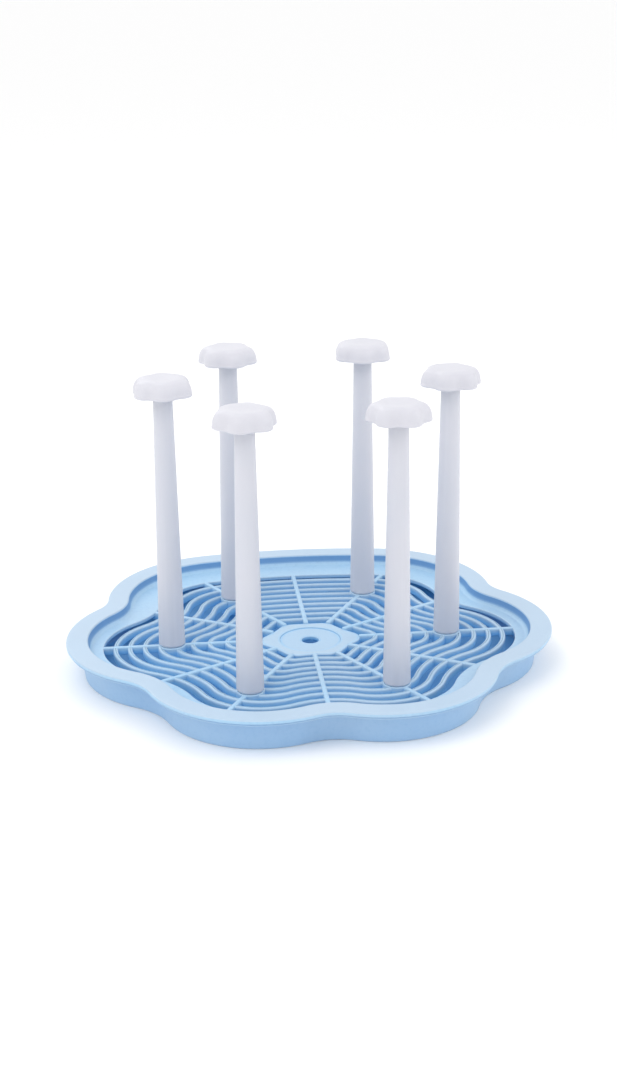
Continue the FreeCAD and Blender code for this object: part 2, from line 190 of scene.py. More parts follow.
class Shape:
    """A mesh in the making, in millimetres, that ends as one object of the scene."""

    def __init__(self) -> None:
        self.bm = bmesh.new()
        self.across = self.bm.verts.layers.float_vector.new("across")
        # per vertex painted light: above zero paler (painted highlight, partly worn), below zero darker
        # (painted shade)
        self.painted_light_and_wear = self.bm.verts.layers.float.new("painted_light_and_wear")

    def arc(self, start: Vector, centre: Vector, sweep: float, steps: int, inwards: float) -> list[BMVert]:
        """Spin one vertex about a vertical axis.

        Args:
            start: Where the arc begins.
            centre: A point on the axis.
            sweep: Angle in radians, counter-clockwise when positive.
            steps: Segments in the arc.
            inwards: 1 when an inset moves towards the centre, -1 when it moves away.

        Returns:
            The arc's vertices.
        """
        made = [self.bm.verts.new(start)]
        bmesh.ops.spin(self.bm, geom=made, cent=centre, axis=UP, angle=sweep, steps=steps)
        edge = made[0].link_edges[0]
        while edge:
            made.append(edge.other_vert(made[-1]))
            edge = next((onward for onward in made[-1].link_edges if onward != edge), None)
        for vert in made:
            vert[self.across] = (centre - vert.co).normalized() * inwards
        return made

    def merge(self, verts: list[BMVert]) -> list[BMVert]:
        """Merge doubles among the given vertices.

        Args:
            verts: Vertices to look at.

        Returns:
            Those that are left.
        """
        bmesh.ops.remove_doubles(self.bm, verts=verts, dist=MERGE)
        return [vert for vert in verts if vert.is_valid]

    def sweep(
        self, path: "Path", section: list[Corner], closed: bool = False,
    ) -> tuple[list[BMEdge], list[BMEdge]]:
        """Draw a path's loop and extrude it from point to point of a section.

        Args:
            path: The closed path that the section runs round.
            section: Points of the section in order.
            closed: Whether the last point joins the first.

        Returns:
            The edges of the first loop and of the last one.
        """
        verts = path.draw(self, section[0])
        edges = first = sorted({edge for vert in verts for edge in vert.link_edges}, key=lambda e: e.index)
        everything = list(verts)
        points = section[1:] + (section[:1] if closed else [])
        before = section[0]
        for point in points:
            made = bmesh.ops.extrude_edge_only(self.bm, edges=edges)["geom"]
            verts = [item for item in made if isinstance(item, BMVert)]
            fresh = set(verts)
            edges = [item for item in made if isinstance(item, BMEdge) and set(item.verts) <= fresh]
            for vert in verts:
                step = vert[self.across] * (point.across - before.across)
                vert.co += step + UP * (point.level - before.level)
                vert[self.painted_light_and_wear] = point.painted_light_and_wear
            everything += verts
            before = point
        if closed:
            self.merge(everything)
        return first, edges

    def bridge(self, *loops: list[BMEdge]) -> None:
        """Join loops of edges, each to the next.

        Args:
            loops: The loops in order.
        """
        for near, far in zip(loops, loops[1:]):
            bmesh.ops.bridge_loops(self.bm, edges=near + far)

    def take(self, part: "Shape") -> None:
        """Move another shape's mesh into this one.

        Args:
            part: The other shape, which is used up.
        """
        bmesh.ops.recalc_face_normals(part.bm, faces=part.bm.faces)
        mesh = bpy.data.meshes.new("part")
        part.bm.to_mesh(mesh)
        part.bm.free()
        self.bm.from_mesh(mesh)
        bpy.data.meshes.remove(mesh)

    def cover(self, edges: list[BMEdge]) -> None:
        """Close a flat loop with one face.

        Args:
            edges: The loop.
        """
        bmesh.ops.contextual_create(self.bm, geom=edges)

    def block(self, low: Vector, high: Vector, turn: Matrix, edge: float) -> None:
        """Add a box with rounded edges.

        Args:
            low: Lowest corner before the turn.
            high: Highest corner before the turn.
            turn: Turn about the origin.
            edge: Radius of the edges.
        """
        made = bmesh.ops.create_cube(self.bm, size=1.0)["verts"]
        place = Matrix.Translation((low + high) / 2) @ Matrix.Diagonal((*(high - low), 1.0))
        bmesh.ops.transform(self.bm, matrix=turn @ place, verts=made)
        edges = list({item for vert in made for item in vert.link_edges})
        bmesh.ops.bevel(
            self.bm, geom=edges, offset=edge, offset_type="OFFSET", segments=3,
            profile=0.5, material=-1, affect="EDGES",
        )

    def finish(
        self, name: str, body: str, node: str, slot: Slot, material: bpy.types.Material,
    ) -> bpy.types.Object:
        """Turn the mesh into an object that rides a body and stands for a node.

        Args:
            name: Name of the piece.
            body: Body of the record that it moves with.
            node: CAD node that it replaces.
            slot: Not used.
            material: Its material.

        Returns:
            The object.
        """
        bmesh.ops.recalc_face_normals(self.bm, faces=self.bm.faces)
        bmesh.ops.scale(self.bm, vec=(MM, MM, MM), verts=self.bm.verts)
        for face in self.bm.faces:
            face.smooth = True
        mesh = bpy.data.meshes.new(name)
        self.bm.to_mesh(mesh)
        self.bm.free()
        mesh.materials.append(material)
        piece = bpy.data.objects.new(name, mesh)
        bpy.context.scene.collection.objects.link(piece)
        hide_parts(node)
        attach(piece, body)
        log.info("%s: %d faces on body %s", name, len(mesh.polygons), body)
        return piece


@dataclass(frozen=True)
class Lobe:
    """One lobe: the direction it points in, the reach of its tip and the radius of its arc."""

    angle: float
    tip: float
    arc: float


@dataclass(frozen=True)
class Outline:
    """Six lobe arcs joined by arcs that hollow inwards, or at the back by one that bows out.

    Side number k joins lobe k to the next one, counter-clockwise.
    """

    lobes: tuple[Lobe, ...]
    sides: tuple[float, ...]
    back_bows_out: bool = True
    centre: Vector = field(default_factory=Vector)
    turn: float = 0.0
    lobe_steps: int = 28
    side_steps: int = 14

    def bows_out(self, side: int) -> bool:
        """Whether the side after a lobe is the long back arc.

        Args:
            side: Number of the side.

        Returns:
            True for the back side of an outline that has one.
        """
        return self.back_bows_out and side % LOBES == BACK_SIDE

    def lobe_centre(self, lobe: int) -> Vector:
        """Centre of a lobe's arc.

        Args:
            lobe: Number of the lobe.

        Returns:
            The centre.
        """
        chosen = self.lobes[lobe % LOBES]
        return self.centre + on_circle(chosen.tip - chosen.arc, self.turn + math.radians(chosen.angle))

    def side_centre(self, side: int) -> Vector:
        """Centre of the arc between a lobe and the next one.

        Args:
            side: Number of the side.

        Returns:
            The centre.
        """
        near, far = self.lobe_centre(side), self.lobe_centre(side + 1)
        sign = -1 if self.bows_out(side) else 1
        radius = self.sides[side % LOBES]
        near_link = radius + sign * self.lobes[side % LOBES].arc
        far_link = radius + sign * self.lobes[(side + 1) % LOBES].arc
        length = (far - near).length
        along = (far - near) / length
        step = (near_link ** 2 - far_link ** 2 + length ** 2) / (2 * length)
        offset = math.sqrt(near_link ** 2 - step ** 2)
        return near + along * step - UP.cross(along) * sign * offset

    def joint(self, lobe: int, side: int, inset: float) -> Vector:
        """Point where a lobe's arc meets a side's arc.

        Args:
            lobe: Number of the lobe.
            side: Number of the side.
            inset: Distance that the outline is moved inwards.

        Returns:
            The point.
        """
        centre = self.lobe_centre(lobe)
        way = (self.side_centre(side) - centre).normalized()
        radius = self.lobes[lobe % LOBES].arc - inset
        return centre + way * radius * (-1 if self.bows_out(side) else 1)

    def draw(self, shape: Shape, start: Corner) -> list[BMVert]:
        """Draw the outline as one closed loop.

        Args:
            shape: Shape that receives the loop.
            start: Inset and level of the loop.

        Returns:
            The loop's vertices.
        """
        lift = UP * start.level
        made: list[BMVert] = []
        for lobe in range(LOBES):
            centre = self.lobe_centre(lobe)
            first = self.joint(lobe, lobe - 1, start.across)
            last = self.joint(lobe, lobe, start.across)
            sweep = turn_between(first - centre, last - centre)
            made += shape.arc(first + lift, centre + lift, sweep, self.lobe_steps, 1)
            centre = self.side_centre(lobe)
            after = self.joint(lobe + 1, lobe, start.across)
            if self.bows_out(lobe):
                sweep = turn_between(last - centre, after - centre)
                made += shape.arc(last + lift, centre + lift, sweep, self.side_steps, 1)
            else:
                sweep = -turn_between(after - centre, last - centre)
                made += shape.arc(last + lift, centre + lift, sweep, self.side_steps, -1)
        verts = shape.merge(made)
        for vert in verts:
            vert[shape.painted_light_and_wear] = start.painted_light_and_wear
        return verts


@dataclass(frozen=True)
class Ring:
    """A circle about a vertical axis, whose sections give radii."""

    centre: Vector
    steps: int

    def draw(self, shape: Shape, start: Corner) -> list[BMVert]:
        """Draw the circle.

        Args:
            shape: Shape that receives the circle.
            start: Radius and level of the circle.

        Returns:
            The circle's vertices.
        """
        place = Matrix.Translation(self.centre + UP * start.level)
        circle = bmesh.ops.create_circle(shape.bm, segments=self.steps, radius=start.across, matrix=place)
        made = circle["verts"]
        for vert in made:
            vert[shape.across] = (vert.co - place.translation).normalized()
            vert[shape.painted_light_and_wear] = start.painted_light_and_wear
        return made


Path = Union[Outline, Ring]


def turn_between(first: Vector, last: Vector) -> float:
    """Counter-clockwise turn from one direction to another.

    Args:
        first: Direction that the turn starts from.
        last: Direction that it ends at.

    Returns:
        The angle in radians, from zero to a full turn.
    """
    return (math.atan2(last.y, last.x) - math.atan2(first.y, first.x)) % (2 * math.pi)


def grille_outline(share: float) -> Outline:
    """Outline between the hub plate and the slotted window.

    Args:
        share: 0 at the hub plate, 1 at the window's edge.

    Returns:
        The outline.
    """
    lobes = tuple(
        Lobe(hub.angle + (window.angle - hub.angle) * share,
             hub.tip + (window.tip - hub.tip) * share + spread * share * (1 - share),
             hub.arc + (window.arc - hub.arc) * share ** 2)
        for hub, window, spread in zip(HUB.lobes, WINDOW.lobes, SLAT_SPREAD)
    )
    sides = tuple(hub + (window - hub) * share for hub, window in zip(HUB.sides, WINDOW.sides))
    return Outline(lobes, sides)


def mirrored(side: Lobe, back: Lobe, front: Lobe, sides: tuple[float, ...]) -> Outline:
    """Outline that is the same to the left and to the right.

    Args:
        side: Lobe at the right.
        back: Lobe at the right of the back.
        front: Lobe at the right of the front.
        sides: Radii of the rear hollow, the back arc, the near hollow and the front hollow.

    Returns:
        The outline.
    """
    rear_hollow, back_bow, near_hollow, front_hollow = sides
    left = [Lobe(180 - lobe.angle, lobe.tip, lobe.arc) for lobe in (back, side, front)]
    right_front = Lobe(front.angle + 360, front.tip, front.arc)
    return Outline(
        (side, back, left[0], left[1], left[2], right_front),
        (rear_hollow, back_bow, rear_hollow, near_hollow, front_hollow, near_hollow),
    )


RIM = mirrored(Lobe(-2, 150, 74), Lobe(52.5, 154.5, 78), Lobe(-60, 140, 69), (25, 350, 34, 26))
WINDOW = mirrored(Lobe(-2, 127.5, 51.5), Lobe(52.5, 120.5, 44), Lobe(-60, 115, 44), (51, 315, 58, 45))
HUB = mirrored(Lobe(0, 31, 10), Lobe(60, 27.5, 10), Lobe(-60, 27.5, 10), (60, 300, 60, 60))
# four times the outward push, lobe by lobe, of the slats half way between hub and window
SLAT_SPREAD = (15.0, 0.0, 0.0, 15.0, 0.0, 0.0)


class Sock:
    """A shader output that Python arithmetic can combine through Math nodes."""

    def __init__(self, graph: "Graph", socket: bpy.types.NodeSocket) -> None:
        self.graph = graph
        self.socket = socket

    def join(self, operation: str, first: Union["Sock", float], last: Union["Sock", float]) -> "Sock":
        """Add a Math node.

        Args:
            operation: The node's operation.
            first: First value.
            last: Second value.

        Returns:
            The node's output.
        """
        return self.graph.node("ShaderNodeMath", {"operation": operation}, {0: first, 1: last})

    def __add__(self, other: Union["Sock", float]) -> "Sock":
        return self.join("ADD", self, other)

    __radd__ = __add__

    def __sub__(self, other: Union["Sock", float]) -> "Sock":
        return self.join("SUBTRACT", self, other)

    def __rsub__(self, other: Union["Sock", float]) -> "Sock":
        return self.join("SUBTRACT", other, self)

    def __mul__(self, other: Union["Sock", float]) -> "Sock":
        return self.join("MULTIPLY", self, other)

    __rmul__ = __mul__

    def over(self, low: float, high: float) -> "Sock":
        """Smooth step of this value.

        Args:
            low: Value that gives zero.
            high: Value that gives one.

        Returns:
            The step, from zero to one.
        """
        settings = {"interpolation_type": "SMOOTHSTEP"}
        values = {"Value": self, "From Min": low, "From Max": high}
        return self.graph.node("ShaderNodeMapRange", settings, values)


Value = Union[Sock, float, tuple]


def linear(red: int, green: int, blue: int) -> tuple[float, float, float, float]:
    """Scene colour of a display colour.

    Args:
        red: Red, 0 to 255.
        green: Green, 0 to 255.
        blue: Blue, 0 to 255.

    Returns:
        The colour with full alpha.
    """
    parts = [part / 255 for part in (red, green, blue)]
    return (*[part / 12.92 if part <= 0.04045 else ((part + 0.055) / 1.055) ** 2.4 for part in parts], 1.0)


class Graph:
    """The node tree of one material."""

    def __init__(self, name: str) -> None:
        self.material = bpy.data.materials.new(name)
        self.material.use_nodes = True
        self.tree = self.material.node_tree
        self.tree.nodes.clear()

    def add(self, kind: str, settings: dict, values: dict[Union[str, int], Value]) -> bpy.types.Node:
        """Add a node.

        Args:
            kind: The node's type.
            settings: Properties of the node, set first.
            values: Numbers, colours or links for its input sockets.

        Returns:
            The node.
        """
        node = self.tree.nodes.new(kind)
        for key, value in settings.items():
            setattr(node, key, value)
        for key, value in values.items():
            if isinstance(value, Sock):
                self.tree.links.new(value.socket, node.inputs[key])
            else:
                node.inputs[key].default_value = value
        return node

    def node(
        self, kind: str, settings: dict, values: dict[Union[str, int], Value], output: Union[str, int] = 0,
    ) -> Sock:
        """Add a node and take one of its outputs.

        Args:
            kind: The node's type.
            settings: Properties of the node, set first.
            values: Numbers, colours or links for its input sockets.
            output: Name or number of the output.

        Returns:
            The output.
        """
        return Sock(self, self.add(kind, settings, values).outputs[output])

    def noise(self, scale: float, detail: float = 2.0, stretch: tuple = (1.0, 1.0, 1.0)) -> Sock:
        """Noise on object coordinates.

        Args:
            scale: Cells in a metre.
            detail: Octaves.
            stretch: Scale along each axis.

        Returns:
            The noise, about 0.5.
        """
        spot = self.node("ShaderNodeTexCoord", {}, {}, "Object")
        spot = self.node("ShaderNodeVectorMath", {"operation": "MULTIPLY"}, {0: spot, 1: stretch})
        return self.node("ShaderNodeTexNoise", {}, {"Vector": spot, "Scale": scale, "Detail": detail}, "Fac")

    def height(self) -> Sock:
        """Level above the table, in metres."""
        spot = self.node("ShaderNodeTexCoord", {}, {}, "Object")
        return self.node("ShaderNodeSeparateXYZ", {}, {0: spot}, "Z")

    def painted_light_and_wear(self) -> Sock:
        """Per-vertex painted light: positive on handled edges (painted highlight, partly worn), negative in
        recesses (painted shade).
        """
        return self.node("ShaderNodeAttribute", {"attribute_name": "painted_light_and_wear"}, {}, "Fac")

    def mix(self, share: Value, first: Value, last: Value) -> Sock:
        """Mix two colours.

        Args:
            share: Share of the last colour.
            first: First colour.
            last: Last colour.

        Returns:
            The mixed colour.
        """
        # A colour Mix node keeps its sockets at 0 (factor), 6 and 7 (colours), and its result at 2.
        return self.node("ShaderNodeMix", {"data_type": "RGBA"}, {0: share, 6: first, 7: last}, 2)

    def bump(self, height: Sock, depth: float, under: Union[Sock, None] = None) -> Sock:
        """Bump of a height pattern.

        Args:
            height: The pattern, from zero to one.
            depth: Depth of the pattern in metres.
            under: Normal of a bump below this one.

        Returns:
            The normal.
        """
        values = {"Height": height, "Distance": depth, "Strength": 1.0}
        if under is not None:
            values["Normal"] = under
        return self.node("ShaderNodeBump", {}, values)

    def shade(self, values: dict[str, Value]) -> bpy.types.Material:
        """End the graph with one principled shader.

        Args:
            values: Values and links of the shader's sockets.

        Returns:
            The material.
        """
        shader = self.node("ShaderNodeBsdfPrincipled", {}, values)
        self.add("ShaderNodeOutputMaterial", {}, {"Surface": shader})
        return self.material


@dataclass(frozen=True)
class BluePlastic:
    """Injection-moulded blue polypropylene with a fine satin grain.

    A faint painted glow (emission) stands in for light that passes through the thin walls, in the
    recesses or, where a sunk colour is given, on everything below the slats' tops; there the colour
    is also painted towards the sunk colour (painted shade). Recesses are painted darker (painted
    shade), the rim's top paler (painted light), and the rounded edges paler (painted highlight,
    partly worn).
    """

    name: str
    body: tuple
    pale: tuple
    deep: tuple
    roughness: float
    painted_sunk_shade: Union[tuple, None] = None

    # colour of the painted glow, levels of the painted sunk shade, and levels of the painted light on the
    # rim's top
    GLOW = (0.008, 0.038, 0.075, 1.0)
    SUNK_LEVELS = (0.012, 0.015)
    RIM_LIGHT_LEVELS = (0.0217, 0.0224)

    def material(self) -> bpy.types.Material:
        """Build the material.

        Returns:
            The material.
        """
        graph = Graph(self.name)
        clouds = graph.noise(14, 3).over(0.3, 0.7)
        flecks = graph.noise(420, 2)
        grain = graph.noise(1500, 3)
        scuffs = graph.noise(160, 4, (1.0, 0.12, 1.0)).over(0.56, 0.72)
        painted_light_and_wear = graph.painted_light_and_wear()
        colour = graph.mix(clouds * 0.35, self.body, self.pale)
        colour = graph.mix(flecks.over(0.45, 0.75) * 0.10, colour, self.deep)
        # painted shade: how deep into a recess a point is, to darken it, and to light the painted glow where
        # no sunk colour is given
        painted_recess_shade = (0 - painted_light_and_wear).over(0.0, 1.0)
        shaded = painted_recess_shade
        # painted shade: below the slats' tops the colour goes to the sunk colour, and the painted glow
        # lights there instead
        if self.painted_sunk_shade:
            shaded = 1 - graph.height().over(*self.SUNK_LEVELS)
            colour = graph.mix(shaded * 0.85, colour, self.painted_sunk_shade)
        # painted light: the rim's top paler
        colour = graph.mix(graph.height().over(*self.RIM_LIGHT_LEVELS) * 0.8, colour, self.pale)
        # painted highlight, partly worn: rounded edges and tops paler
        colour = graph.mix(painted_light_and_wear.over(0.0, 1.0) * 0.5, colour, self.pale)
        # painted shade: recesses mixed towards the deep colour
        colour = graph.mix(painted_recess_shade * 0.8, colour, self.deep)
        roughness = self.roughness + grain * 0.10 + scuffs * 0.07 - painted_light_and_wear.over(0.2, 1.0) * 0.06
        normal = graph.bump(graph.noise(30, 2), 0.00012)
        normal = graph.bump(grain, 0.00003, normal)
        return graph.shade({
            "Base Color": colour,
            "Roughness": roughness,
            "Normal": normal,
            "IOR": 1.49,
            # painted glow: a faint blue emission standing in for light through the thin walls
            "Emission Color": graph.mix(shaded, BLACK, self.GLOW),
            "Emission Strength": 1.0,
            "Coat Weight": 0.06,
            "Coat Roughness": 0.25,
        })


@dataclass(frozen=True)
class FrostedPlastic:
    """Natural frosted polypropylene, faintly drawn along its length."""

    name: str
    body: tuple
    cool: tuple
    pale: tuple

    def material(self) -> bpy.types.Material:
        """Build the material.

        Returns:
            The material.
        """
        graph = Graph(self.name)
        streaks = graph.noise(300, 3, (1.0, 1.0, 0.04))
        clouds = graph.noise(22, 3).over(0.3, 0.7)
        grain = graph.noise(1700, 3)
        painted_light_and_wear = graph.painted_light_and_wear()
        colour = graph.mix(clouds * 0.5, self.body, self.cool)
        colour = graph.mix(streaks.over(0.5, 0.75) * 0.2, colour, self.pale)
        # painted highlight, partly worn: rounded edges paler
        colour = graph.mix(painted_light_and_wear.over(0.0, 1.0) * 0.5, colour, self.pale)
        normal = graph.bump(streaks, 0.00003)
        normal = graph.bump(grain, 0.00003, normal)
        return graph.shade({
            "Base Color": colour,
            "Roughness": 0.46 + grain * 0.10 - streaks * 0.05,
            "Normal": normal,
            "IOR": 1.49,
            "Subsurface Weight": 0.25,
            "Subsurface Radius": (1.0, 0.9, 1.0),
            "Subsurface Scale": 0.003,
        })


@dataclass(frozen=True)
class WhitePlastic:
    """Soft white plastic of the caps, slightly polished where fingers turn them."""

    name: str
    body: tuple
    shade: tuple
    pale: tuple

    def material(self) -> bpy.types.Material:
        """Build the material.

        Returns:
            The material.
        """
        graph = Graph(self.name)
        clouds = graph.noise(60, 3).over(0.3, 0.7)
        grain = graph.noise(1900, 3)
        specks = graph.noise(700, 1).over(0.70, 0.78)
        painted_light_and_wear = graph.painted_light_and_wear()
        colour = graph.mix(clouds * 0.4, self.body, self.pale)
        colour = graph.mix(specks * 0.12, colour, self.shade)
        # painted shade: recesses darker
        colour = graph.mix((0 - painted_light_and_wear).over(0.0, 1.0) * 0.4, colour, self.shade)
        # painted highlight, partly worn: rounded edges paler
        colour = graph.mix(painted_light_and_wear.over(0.0, 1.0) * 0.5, colour, self.pale)
        normal = graph.bump(clouds, 0.00006)
        normal = graph.bump(grain, 0.000025, normal)
        return graph.shade({
            "Base Color": colour,
            "Roughness": 0.40 + grain * 0.12 - painted_light_and_wear.over(0.0, 1.0) * 0.08,
            "Normal": normal,
            "IOR": 1.49,
            "Subsurface Weight": 0.2,
            "Subsurface Radius": (1.0, 0.95, 1.0),
            "Subsurface Scale": 0.002,
        })


@dataclass
class DripTray:
    """The lower tray: a walled pan with a flat lobed rim."""

    finish: BluePlastic = field(default_factory=lambda: BluePlastic(
        "tray_blue", body=linear(151, 187, 222), pale=linear(174, 200, 222), deep=linear(98, 152, 200),
        roughness=0.40,
    ))

    def build(self) -> bpy.types.Object:
        """Make the tray.

        Returns:
            The piece.
        """
        shape = Shape()
        # painted shade: the floor and its fillet darker, with the painted glow on them; painted highlight,
        # partly worn: the rim's and the bottom's edges paler
        section = rounded([
            Corner(16.0, FLOOR_TOP, painted_light_and_wear=-1.0),
            Corner(12.4, FLOOR_TOP, 2.2, Edge.RECESS),
            Corner(10.6, TRAY_TOP, 0.4),
            Corner(0.9, TRAY_TOP, 0.4),
            Corner(0.9, TRAY_RIM_UNDERSIDE, 0.5, Edge.HIGHLIT_AND_WORN),
            Corner(8.8, TRAY_RIM_UNDERSIDE, 0.8),
            Corner(10.6, 0.0, 1.1, Edge.HIGHLIT_AND_WORN),
            Corner(15.0, 0.0),
        ])
        floor, underside = shape.sweep(RIM, section)
        shape.cover(floor)
        shape.cover(underside)
        return shape.finish("drip_tray_pan", "drip_tray", "drip_tray", Slot.TRAY, self.finish.material())


@dataclass
class DrainGrid:
    """The upper tray: a lobed rim and shelf round a grille of slats, bars and a hub."""

    # the sunk colour is painted shade below the slats' tops
    finish: BluePlastic = field(default_factory=lambda: BluePlastic(
        "grid_blue", body=linear(162, 201, 230), pale=linear(178, 197, 216), deep=linear(66, 126, 186),
        painted_sunk_shade=linear(122, 178, 222), roughness=0.38,
    ))

    # start and end of the twelve bars, counter-clockwise from +X
    BAR_REACH = (
        (30.3, 129.0), (25.4, 110.8), (26.9, 120.4), (24.7, 110.4), (26.9, 120.4), (25.4, 110.8),
        (30.3, 129.0), (25.4, 109.0), (26.9, 116.8), (24.0, 99.8), (26.9, 116.8), (25.4, 109.0),
    )

    def add_rim(self, shape: Shape) -> None:
        """Add the rim, wall, shelf and window edge.

        Args:
            shape: Shape that receives them.
        """
        # painted shade: the inner wall darker towards the rim; painted highlight, partly worn: the rim's
        # edges and the shelf's lip paler
        skirt = rounded([
            Corner(18.2, SHELF_TOP),
            Corner(15.0, SHELF_TOP, 2.6),
            Corner(14.4, 17.6, painted_light_and_wear=-0.35),
            Corner(14.0, 19.0, painted_light_and_wear=-0.9),
            Corner(13.35, 21.3, painted_light_and_wear=-1.0),
            Corner(13.0, GRID_TOP, 0.9, Edge.HIGHLIT_AND_WORN),
            Corner(0.0, GRID_TOP, 0.9, Edge.HIGHLIT_AND_WORN),
            Corner(0.0, TRAY_TOP, 0.35),
            Corner(11.2, TRAY_TOP, 0.4),
            Corner(13.0, SHELF_UNDERSIDE, 0.8),
            Corner(16.2, SHELF_UNDERSIDE),
        ])
        lip = rounded([
            Corner(-2.0, SHELF_TOP - BRIDGE_STEP),
            Corner(0.0, SHELF_TOP, 0.7, Edge.HIGHLIT_AND_WORN),
            Corner(0.0, SHELF_UNDERSIDE, 0.3),
            Corner(-2.0, SHELF_UNDERSIDE + BRIDGE_STEP),
        ])
        top, bottom = shape.sweep(RIM, skirt)
        inner_top, inner_bottom = shape.sweep(WINDOW, lip)
        shape.bridge(top, inner_top)
        shape.bridge(bottom, inner_bottom)

    def add_slats(self, shape: Shape) -> None:
        """Add the closed slats that follow the outline.

        Args:
            shape: Shape that receives them.
        """
        half = BAR_WIDTH / 2
        # painted highlight, partly worn: the rounded tops paler
        section = rounded([
            Corner(-half, SLAT_TOP, 1.2, Edge.HIGHLIT_AND_WORN),
            Corner(half, SLAT_TOP, 1.2, Edge.HIGHLIT_AND_WORN),
            Corner(half, BAR_UNDERSIDE, 0.3),
            Corner(-half, BAR_UNDERSIDE, 0.3),
        ], closed=True, steps=4)
        spread = WINDOW.lobes[0].tip - HUB.lobes[0].tip
        gap = (spread - SLATS * BAR_WIDTH) / (SLATS + 1)
        for number in range(1, SLATS + 1):
            middle = number * gap + (number - 0.5) * BAR_WIDTH
            slat = Shape()
            slat.sweep(grille_outline(middle / spread), section, closed=True)
            shape.take(slat)

    def add_bars(self, shape: Shape) -> None:
        """Add the twelve radial bars and the ribs below the hub.

        Args:
            shape: Shape that receives them.
        """
        half = BAR_WIDTH / 2
        for number, (start, end) in enumerate(self.BAR_REACH):
            turn = Matrix.Rotation(number * LOBE_STEP / 2, 4, "Z")
            shape.block(Vector((start, -half, BAR_UNDERSIDE)), Vector((end, half, BAR_TOP)), turn, 0.8)
            rib_top = HUB_UNDERSIDE + RIB_OVERLAP
            shape.block(Vector((RIB_START, -half, BAR_UNDERSIDE)), Vector((start, half, rib_top)), turn, 0.3)

    def add_hub(self, shape: Shape) -> None:
        """Add the hub plate with its shallow dish and hole.

        Args:
            shape: Shape that receives it.
        """
        outline = HUB
        # painted light: the flat top and dish floor paler (painted highlight, partly worn), the dish's foot
        # darker (painted shade)
        edge = rounded([
            Corner(2.4, HUB_TOP, painted_light_and_wear=1.0),
            Corner(0.0, HUB_TOP, 0.7, Edge.HIGHLIT_AND_WORN),
            Corner(0.0, HUB_UNDERSIDE, 0.3),
            Corner(2.4, HUB_UNDERSIDE),
        ])
        dish_floor = HUB_TOP - HUB_DISH_DEPTH
        centre = rounded([
            Corner(HUB_DISH + 1.4, HUB_TOP, painted_light_and_wear=1.0),
            Corner(HUB_DISH, HUB_TOP, 0.4, Edge.HIGHLIT_AND_WORN),
            Corner(HUB_DISH - 0.2, dish_floor, 0.3, Edge.RECESS),
            Corner(HUB_DISH - 2.0, dish_floor, painted_light_and_wear=0.8),
            Corner(7.0, dish_floor, painted_light_and_wear=0.8),
            Corner(HUB_HOLE, dish_floor, 0.5, Edge.HIGHLIT_AND_WORN),
            Corner(HUB_HOLE, HUB_UNDERSIDE, 0.3),
            Corner(8.0, HUB_UNDERSIDE),
        ])
        steps = LOBES * (outline.lobe_steps + outline.side_steps)
        top, bottom = shape.sweep(outline, edge)
        dish, underside = shape.sweep(Ring(Vector(), steps), centre)
        shape.bridge(top, dish)
        shape.bridge(bottom, underside)

    def add_bosses(self, shape: Shape) -> None:
        """Add the six bored bosses that the pegs stand in.

        Args:
            shape: Shape that receives them.
        """
        # painted highlight, partly worn: the top edge paler
        section = rounded([
            Corner(0.4, SOCKET_FLOOR),
            Corner(SOCKET_RADIUS, SOCKET_FLOOR, 0.3),
            Corner(SOCKET_RADIUS, BOSS_TOP, 0.3),
            Corner(BOSS_RADIUS, BOSS_TOP, 0.7, Edge.HIGHLIT_AND_WORN),
            Corner(BOSS_RADIUS, BOSS_UNDERSIDE, 0.4),
            Corner(0.4, BOSS_UNDERSIDE),
        ])
        for number in range(LOBES):
            boss = Shape()
            ring = Ring(on_circle(PEG_RING, LOBE_STEP * number), 64)
            for loop in boss.sweep(ring, section):
                boss.cover(loop)
            shape.take(boss)

    def build(self) -> bpy.types.Object:
        """Make the grid.

        Returns:
            The piece.
        """
        shape = Shape()
        for add in (self.add_rim, self.add_slats, self.add_bars, self.add_hub, self.add_bosses):
            part = Shape()
            add(part)
            shape.take(part)
        return shape.finish("drain_grid_tray", "drain_grid", "drain_grid", Slot.GRID, self.finish.material())


@dataclass
class Peg:
    """One tapered peg with a spigot below and a bore for its cap."""

    number: int

    def build(self, material: bpy.types.Material) -> bpy.types.Object:
        """Make the peg.

        Args:
            material: Finish shared by the pegs.

        Returns:
            The piece.
        """
        bottom = BOSS_TOP - SPIGOT_LENGTH
        levels = 12
        taper = [
            Corner(PEG_FOOT + (PEG_HEAD - PEG_FOOT) * share, BOSS_TOP + (PEG_TOP - BOSS_TOP) * share)
            for share in (step / levels for step in range(1, levels))
        ]
        shape = Shape()
        # painted highlight, partly worn: the rounded foot and head edges paler
        section = rounded([
            Corner(PEG_BORE, bottom, 0.2),
            Corner(SPIGOT_RADIUS, bottom, 0.6),
            Corner(SPIGOT_RADIUS, BOSS_TOP, 0.15),
            Corner(PEG_FOOT, BOSS_TOP, 1.4, Edge.HIGHLIT_AND_WORN),
            *taper,
            Corner(PEG_HEAD, PEG_TOP, 0.5, Edge.HIGHLIT_AND_WORN),
            Corner(PEG_BORE, PEG_TOP, 0.2),
        ], closed=True)
        ring = Ring(on_circle(PEG_RING, LOBE_STEP * (self.number - 1)), 72)
        shape.sweep(ring, section, closed=True)
        name = f"peg_{self.number}"
        return shape.finish(name + "_stick", name, name, Slot.PEG, material)


@dataclass(frozen=True)
class CapLevel:
    """Outline of the cap's dome at one level above its foot."""

    level: float
    tip: float
    lobe_arc: float
    hollow_arc: float


